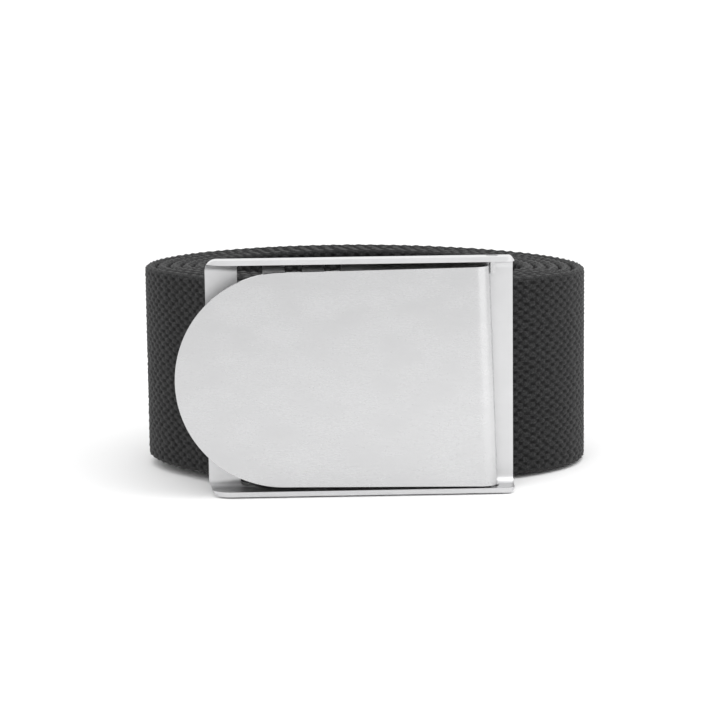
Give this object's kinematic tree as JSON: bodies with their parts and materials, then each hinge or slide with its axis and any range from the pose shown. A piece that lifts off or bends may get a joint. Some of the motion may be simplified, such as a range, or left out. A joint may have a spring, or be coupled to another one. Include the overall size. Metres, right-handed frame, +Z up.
{
  "type": "dive weight belt",
  "caption": "Black woven webbing belt rolled up on its edge, threaded through a satin stainless quick-release buckle with a round-ended cam lever.",
  "frame": {"origin": "bottom centre of the bounding box, on the surface the rolled belt stands on", "axes": "+X along the buckle, from the lever's free round end to its pivots; +Y from the buckle into the coil; +Z up, across the webbing's width"},
  "size_m": [0.1136, 0.1026, 0.058],
  "materials": {
    "webbing": "coarse flat-woven black polyester webbing, matt",
    "frame_steel": "satin stainless sheet, pressed and tumbled",
    "lever_steel": "satin stainless sheet with polished edges"
  },
  "bodies": {
    "belt": {"buckle_frame": "frame_steel", "webbing": "webbing"},
    "lever": {"release_lever": "lever_steel"}
  },
  "joints": [
    {"name": "lever_hinge", "type": "hinge", "parent": "belt", "child": "lever", "pos_m": [0.0296, -0.04727, 0.0287], "axis": [0, 0, 1], "range_deg": [0, 110]}
  ]
}
